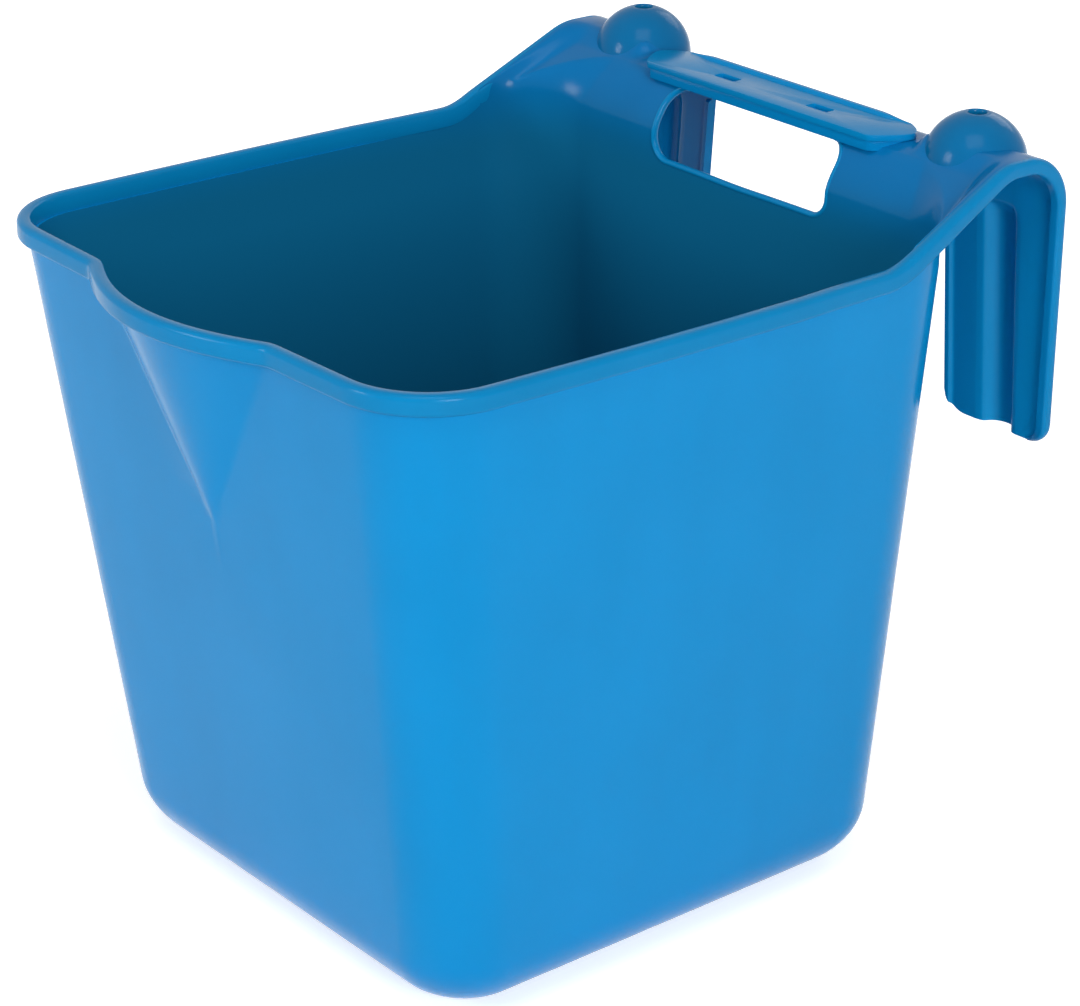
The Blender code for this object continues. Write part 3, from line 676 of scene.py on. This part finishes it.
def tube(rings, closed=False):
    """Join rings of points; the section is a closed loop."""
    bm = bmesh.new()
    rows = [[bm.verts.new(p) for p in ring] for ring in rings]
    pairs = list(zip(rows, rows[1:]))
    if closed:
        pairs.append((rows[-1], rows[0]))
    for a, b in pairs:
        for i in range(len(a)):
            j = (i + 1) % len(a)
            bm.faces.new((a[i], a[j], b[j], b[i]))
    if not closed:
        bm.faces.new(rows[0])
        bm.faces.new(rows[-1])
    return bm


# The shell with its hand hole
shell_bm = build_shell()
bmesh.ops.recalc_face_normals(shell_bm, faces=shell_bm.faces)
whole = BVHTree.FromBMesh(shell_bm)
shell = add_piece("trough_shell", shell_bm, TUB_BLUE, ("tub", "left_hook", "right_hook"))
# Slot 1: painted shade of the inside faces.
shell.data.materials.append(INSIDE_PAINTED_SHADE)
# Slot 2: painted shade of the legs.
shell.data.materials.append(LEG_PAINTED_SHADE)
hole_outline = rounded_box(-HOLE_HALF_WIDTH - HOLE_GROW, HOLE_HALF_WIDTH + HOLE_GROW,
                           HOLE_BOTTOM - HOLE_GROW, SKIRT_BOTTOM + HOLE_GROW, HOLE_CORNER + HOLE_GROW)
cut(shell, helper("hole", prism(hole_outline, 1, BACK_TOP - 0.03, CREST_START)))
shade(shell, 38)


def hole_rim():
    """A rounded edge round the hand hole, laid on the wall by casting rays at it."""
    outline = rounded_box(-HOLE_HALF_WIDTH, HOLE_HALF_WIDTH, HOLE_BOTTOM, SKIRT_BOTTOM, HOLE_CORNER, 14)
    dense = []
    for i, p in enumerate(outline):
        q = outline[(i + 1) % len(outline)]
        count = max(1, int(math.dist(p, q) / HOLE_RIM_SPACING))
        dense += [(lerp(p[0], q[0], k / count), lerp(p[1], q[1], k / count)) for k in range(count)]
    start = max(range(len(dense)), key=lambda i: (dense[i][1] > SKIRT_BOTTOM - 1e-5, -abs(dense[i][0])))
    dense = dense[start:] + dense[:start]
    keep = [p for p in dense if abs(p[0]) > HANDLE_END - 0.002 or p[1] < SKIRT_BOTTOM - 0.004]
    centres = []
    for x, z in keep:
        away = Vector((x, 0, z - (HOLE_BOTTOM + SKIRT_BOTTOM) / 2)).normalized() * HOLE_RIM_INSET
        hit = whole.ray_cast(Vector((x + away.x, 0.09, z + away.z)), Vector((0, 1, 0)))
        spot, normal = hit[0], hit[1]
        if spot is None or spot.y > CREST_START:
            continue
        if normal.y > 0:
            normal = -normal
        centres.append((spot - normal * (WALL / 2), normal))
    rings = []
    for i, (spot, normal) in enumerate(centres):
        before = centres[max(0, i - 1)][0]
        after = centres[min(len(centres) - 1, i + 1)][0]
        along = (after - before).normalized()
        across = along.cross(normal).normalized()
        rings.append([spot + normal * (HOLE_RIM_HALF_DEPTH * math.cos(a))
                      + across * (HOLE_RIM_HALF_WIDTH * math.sin(a))
                      for a in [math.tau * k / 14 for k in range(14)]])
    return tube(rings)


add_piece("hand_hole_rim", hole_rim(), BEAD_PAINTED_SHADE, (), 60)


# Rim bead
def bead_section(width_in, height, tuck, scale=1.0):
    """Closed loop of (outward, below the top) for the bead."""
    top, low, proud = BEAD_TOP_ROUND, BEAD_LOW_ROUND, BAND_PROUD * BEAD_SHARE * scale
    points = [(-0.0004, height), (-width_in + 0.0003, height), (-width_in, height - 0.001)]
    points += [(-width_in, 0.0010 + tuck), (-width_in + 0.0003, 0.0004 + tuck)]
    points.append((-width_in + 0.0009, tuck * 0.2))
    points += [(lerp(-width_in, proud, 0.45), 0.0), (proud - top, 0.0)]
    for k in range(1, 7):
        a = math.radians(90 * k / 6)
        points.append((proud - top + top * math.sin(a), top - top * math.cos(a)))
    points.append((proud, (top + height - low) / 2))
    for k in range(0, 5):
        a = math.radians(90 * k / 4)
        points.append((proud - low + low * math.cos(a), height - low + low * math.sin(a)))
    return points


def bead_stations():
    """Stations from the spout's middle to the end of the right leg.

    Each is the point on the wall's line, outward, up, height, inner width and tuck. Round the
    leg's corner a scale follows.
    """
    half, front, back, radius = outline_sizes(RIM_HEIGHT, 0.0, 0.0)
    ring = half_ring(RIM_HEIGHT, 0.0)[:FOOT_INDEX + 1]
    last = ring[-1][1]
    line = [Vector((x, y, RIM_HEIGHT)) for x, y in ring]
    for i, p in enumerate(line):
        if p.y > last - 0.045 and p.x > half - 0.001:
            p.x = lerp(p.x, hook_edge(RAMP_START), smooth((p.y - last + 0.045) / 0.045))
    stations = []
    side, level, wide = Vector((1, 0, 0)), Vector((0, 0, 1)), WALL + 0.00012
    for i, p in enumerate(line):
        before = line[i - 1] if i else Vector((-line[1].x, line[1].y, RIM_HEIGHT))
        after = line[min(i + 1, len(line) - 1)]
        along = (after - before).normalized()
        stations.append((p, Vector((along.y, -along.x, 0.0)), level, BAND_HEIGHT, wide, 0.0))
    foot = BACK_SEAT - RADIUS_SEAT
    for k in range(1, 3 * RAMP_STEPS + 1):
        y = lerp(RAMP_START, CREST_START, k / (3 * RAMP_STEPS))
        height = lerp(BAND_HEIGHT, BAND_CREST_DEPTH, smooth((y - RAMP_START) / RAMP_LENGTH))
        inner = lerp(wide, 0.0010, min(1.0, max(0.0, (y - foot) / (CREST_START - foot))))
        inner += 0.0006 * smooth((y - foot) / 0.006)
        tuck = BEAD_TUCK * smooth((y - foot) / 0.006)
        spot = Vector((hook_edge(y), y, ramp_height(y)))
        stations.append((spot, side, ramp_normal(y), height, inner, tuck))
    for k in range(1, 2 * CREST_STEPS + 1):
        angle = math.radians(90 * k / (2 * CREST_STEPS))
        normal = Vector((0.0, math.sin(angle), math.cos(angle)))
        spot = Vector((LEG_OUTER, CREST_END, CREST_HEIGHT - CREST_RADIUS)) + normal * CREST_RADIUS
        height = lerp(BAND_CREST_DEPTH, BAND_LEG_DEPTH, smooth((CREST_HEIGHT - spot.z) / CREST_RISE))
        stations.append((spot, side, normal, height, BEAD_INNER, BEAD_TUCK))
    top = CREST_HEIGHT - CREST_RADIUS
    low = LEG_BOTTOM + LEG_CORNER
    for k in range(1, 9):
        stations.append((Vector((LEG_OUTER, LEG_BACK, lerp(top, low, k / 8))), side,
                         Vector((0, 1, 0)), BAND_LEG_DEPTH, BEAD_INNER, BEAD_TUCK))
    for k in range(1, 10):
        angle = math.radians(85 * k / 9)
        out = Vector((math.cos(angle), 0.0, -math.sin(angle)))
        spot = Vector((LEG_OUTER - LEG_CORNER, LEG_BACK, low)) + out * LEG_CORNER
        height = lerp(BAND_LEG_DEPTH, HOOK_WALL + 0.0003, smooth(k / 9))
        stations.append((spot, out, Vector((0, 1, 0)), height, BEAD_INNER, BEAD_TUCK,
                         lerp(1.0, 0.15, smooth(k / 9))))
    return stations


def build_bead():
    right = []
    for spot, out, up, height, inner, tuck, *scale in bead_stations():
        right.append([spot + out * a - up * b for a, b in bead_section(inner, height, tuck, *scale)])
    left = [[Vector((-p.x, p.y, p.z)) for p in ring] for ring in right[1:]]
    return tube(left[::-1] + right)


add_piece("rim_bead", build_bead(), BEAD_PAINTED_SHADE,
          ("rim_band", "left_hook_band", "right_hook_band"), 50)


# Domes
def skin_below(sign):
    """A solid filling the space below one hook's upper skin."""
    low = SEAT - 0.004
    rings = []
    for column in COLUMNS[8::2][::-1]:
        skin = [tuple(p + n * UNDER_OFFSET) for p, n, thick, shift in column if p.z > low]
        rings.append(skin + [(skin[-1][0], skin[-1][1], low), (skin[0][0], skin[0][1], low)])
    most = max(len(ring) for ring in rings)
    rings = [ring[:-2] + [ring[-3]] * (most - len(ring)) + ring[-2:] for ring in rings]
    rings.insert(0, [(HANDLE_END - JOIN_GAP, y, z) for x, y, z in rings[0]])
    bm = tube([[(sign * x, y, z) for x, y, z in ring] for ring in rings])
    bmesh.ops.remove_doubles(bm, verts=bm.verts, dist=1e-6)
    return bm


def build_dome(sign):
    """Lathe of the hollow ball with a softly rounded hole at its top."""
    inner = DOME_RADIUS - DOME_WALL
    open_outer = math.asin((DOME_HOLE_RADIUS + 0.0006) / DOME_RADIUS)
    open_inner = math.asin(DOME_HOLE_RADIUS / inner)
    profile = [(DOME_RADIUS * math.sin(a), DOME_RADIUS * math.cos(a))
               for a in [lerp(open_outer, math.pi, k / 48) for k in range(48)]]
    lip_z = DOME_RADIUS * math.cos(open_outer)
    lip = [(DOME_HOLE_RADIUS + 0.00025, lip_z - 0.0001), (DOME_HOLE_RADIUS, lip_z - 0.0005),
           (DOME_HOLE_RADIUS, inner * math.cos(open_inner))]
    inside = [(inner * math.sin(a), inner * math.cos(a))
              for a in [lerp(open_inner, math.pi, k / 24) for k in range(1, 24)]]
    centre = Vector((sign * HOOK_CENTRE, LEG_BACK + HOOK_WALL - DOME_RADIUS, CREST_HEIGHT - DOME_BELOW_CREST))
    steps = 72
    bm = bmesh.new()

    def lathe(points):
        rows = []
        for r, z in points:
            rows.append([bm.verts.new(centre + Vector((r * math.cos(a), r * math.sin(a), z)))
                         for a in [math.tau * k / steps for k in range(steps)]])
        for a, b in zip(rows, rows[1:]):
            for i in range(steps):
                j = (i + 1) % steps
                bm.faces.new((a[i], a[j], b[j], b[i]))
        return rows
    rows = lathe(profile[::-1] + lip + inside)
    for row in (rows[0], rows[-1]):
        bm.faces.new(row)
    return bm


for word, sign in (("left", -1), ("right", 1)):
    dome = add_piece(word + "_dome_cap", build_dome(sign), DOME_PAINTED_SHADE, (word + "_dome",), 50)
    cut(dome, helper("under", skin_below(sign)))
    shade(dome, 50)


# Handle
def plate_outline(inset):
    front = HANDLE_FRONT - PLATE_OVERHANG + inset
    back = HANDLE_BACK + PLATE_OVERHANG - inset
    tip = HOOK_CENTRE - DOME_RADIUS - PLATE_END_CLEARANCE - inset
    straight = tip - PLATE_END_LENGTH
    right = [(straight + PLATE_END_LENGTH * a, lerp(front, back, b)) for a, b in PLATE_END]
    right.append((straight, back))
    return [(-x, y) for x, y in reversed(right)] + right


PLATE_LIP_END = HOOK_CENTRE - DOME_RADIUS - PLATE_END_CLEARANCE - PLATE_END_LENGTH
bar_bm = prism(plate_outline(PLATE_OVERHANG + 0.0001), 2, SKIRT_BOTTOM, PLATE_BOTTOM + 0.0006)
bar = add_piece("handle_bar", bar_bm, HANDLE_PAINTED_SHADE, ("carry_handle",), 30)
end = HANDLE_END - JOIN_GAP - HANDLE_WALL
cut(bar, helper("hollow", prism(rounded_box(-end, end, HANDLE_FRONT + HANDLE_WALL, HANDLE_BACK - HANDLE_WALL,
                                            HANDLE_WALL), 2, SKIRT_BOTTOM - 0.004, PLATE_BOTTOM - 0.0001)))
for sign in (-1, 1):
    cut(bar, helper("under", skin_below(sign)))
round_edges(bar, BAR_EDGE, 2, 40)
shade(bar, 40)

plate = add_piece("handle_plate", prism(plate_outline(0.0), 2, PLATE_BOTTOM, PLATE_TOP), PLATE_PAINTED_SHADE,
                  ("handle_top_plate",), 30)
back = HANDLE_BACK + PLATE_OVERHANG
lip_rings = []
for k in range(-24, 25):
    x = PLATE_LIP_END * k / 24
    rise = LIP_HEIGHT * smooth((PLATE_LIP_END - abs(x)) / LIP_TAPER)
    width = LIP_THICKNESS * lerp(0.5, 1.0, smooth((PLATE_LIP_END - abs(x)) / LIP_TAPER))
    lip_rings.append([(x, back - width, PLATE_BOTTOM + 0.0004), (x, back - width, PLATE_TOP + 0.0001),
                      (x, back - width * 0.75, PLATE_TOP + rise + 0.0002),
                      (x, back - 0.0005, PLATE_TOP + rise + 0.0002),
                      (x, back - 0.0001, PLATE_TOP), (x, back - 0.0001, PLATE_BOTTOM + 0.0004)])
cut(plate, helper("lip", tube(lip_rings)), 'UNION')
middle = (HANDLE_FRONT + HANDLE_BACK - LIP_THICKNESS) / 2
for sign in (-1, 1):
    x = sign * SLOT_OFFSET
    slot = rounded_box(x - SLOT_LENGTH / 2, x + SLOT_LENGTH / 2, middle - SLOT_WIDTH / 2,
                       middle + SLOT_WIDTH / 2, SLOT_WIDTH / 4)
    cut(plate, helper("slot", prism(slot, 2, PLATE_BOTTOM - 0.004, PLATE_TOP + 0.004)))
round_edges(plate, PLATE_EDGE, 3, 40)
shade(plate, 40)


# Stage
def seen_directly(tree):
    """1 for camera, glossy and transmission rays."""
    path = tree.nodes.new("ShaderNodeLightPath")
    total = path.outputs["Is Camera Ray"]
    for kind in ("Is Glossy Ray", "Is Transmission Ray"):
        node = tree.nodes.new("ShaderNodeMath")
        node.operation = 'MAXIMUM'
        tree.links.new(total, node.inputs[0])
        tree.links.new(path.outputs[kind], node.inputs[1])
        total = node.outputs[0]
    return total


def stage_material(name, colour, glow):
    """Pale floor seen as almost white, and as white far off, with the object's shadow kept."""
    mat = bpy.data.materials.new(name)
    mat.use_nodes = True
    tree = mat.node_tree
    shader = tree.nodes["Principled BSDF"]
    shader.inputs["Base Color"].default_value = (*colour, 1)
    shader.inputs["Roughness"].default_value = 0.9
    shader.inputs["Specular IOR Level"].default_value = 0.1
    light = tree.nodes.new("ShaderNodeEmission")
    light.inputs["Color"].default_value = (1, 1, 1, 1)
    place = tree.nodes.new("ShaderNodeTexCoord")
    away = tree.nodes.new("ShaderNodeVectorMath")
    away.operation = 'LENGTH'
    tree.links.new(place.outputs["Object"], away.inputs[0])
    level = tree.nodes.new("ShaderNodeMapRange")
    level.interpolation_type = 'SMOOTHSTEP'
    level.inputs["From Min"].default_value = FLOOR_FADE_START
    level.inputs["From Max"].default_value = FLOOR_FADE_END
    level.inputs["To Min"].default_value = glow
    level.inputs["To Max"].default_value = 1.0
    tree.links.new(away.outputs["Value"], level.inputs["Value"])
    seen = tree.nodes.new("ShaderNodeMath")
    seen.operation = 'MULTIPLY'
    tree.links.new(seen_directly(tree), seen.inputs[0])
    tree.links.new(level.outputs["Result"], seen.inputs[1])
    tree.links.new(seen.outputs[0], light.inputs["Strength"])
    both = tree.nodes.new("ShaderNodeAddShader")
    tree.links.new(shader.outputs[0], both.inputs[0])
    tree.links.new(light.outputs[0], both.inputs[1])
    tree.links.new(both.outputs[0], tree.nodes["Material Output"].inputs["Surface"])
    return mat


floor_bm = bmesh.new()
bmesh.ops.create_grid(floor_bm, x_segments=1, y_segments=1, size=FLOOR_HALF_SIZE)
floor = helper("floor", floor_bm)
floor.data.materials.append(stage_material("floor_white", FLOOR_COLOUR, FLOOR_GLOW))

world = bpy.data.worlds.new("studio")
bpy.context.scene.world = world
world.use_nodes = True
tree = world.node_tree
sky = tree.nodes["Background"]
level = tree.nodes.new("ShaderNodeMapRange")
level.inputs["To Min"].default_value = SKY_STRENGTH
level.inputs["To Max"].default_value = 1.0
tree.links.new(seen_directly(tree), level.inputs["Value"])
sky.inputs["Color"].default_value = (1, 1, 1, 1)
tree.links.new(level.outputs["Result"], sky.inputs["Strength"])


def softbox(name, place, target, size, power):
    light = bpy.data.lights.new(name, 'AREA')
    light.shape = 'RECTANGLE'
    light.size, light.size_y = size
    light.energy = power
    obj = bpy.data.objects.new(name, light)
    bpy.context.scene.collection.objects.link(obj)
    obj.location = place
    aim = (Vector(target) - Vector(place)).normalized()
    obj.rotation_euler = aim.to_track_quat('-Z', 'Y').to_euler()


softbox("overhead", (0.6, -0.5, 1.8), (0, 0, 0.2), (1.0, 0.9), 9)
softbox("behind", (-0.5, 1.9, 1.3), (0, 0, 0.2), (1.0, 0.9), 6)
softbox("right_front", (2.0, -0.6, 0.9), (0, 0, 0.12), (0.6, 0.8), 28)
softbox("left_front", (-0.7, -2.1, 0.9), (0, 0, 0.12), (0.6, 0.7), 22)

camera_data = bpy.data.cameras.new("camera")
camera = bpy.data.objects.new("camera", camera_data)
bpy.context.scene.collection.objects.link(camera)
camera_data.sensor_fit = 'HORIZONTAL'
camera_data.sensor_width = 36
camera_data.lens = CAMERA_LENS
camera_data.shift_x, camera_data.shift_y = CAMERA_SHIFT
camera_data.clip_start = 0.05
camera_data.clip_end = 50
right = Vector(CAMERA_RIGHT).normalized()
up = Vector(CAMERA_UP)
up = (up - right * up.dot(right)).normalized()
behind = right.cross(up)
turn = Matrix((right, up, behind)).transposed().to_4x4()
camera.matrix_world = Matrix.Translation(Vector(CAMERA_PLACE)) @ turn
bpy.context.scene.camera = camera
bpy.context.scene.view_settings.view_transform = 'Standard'
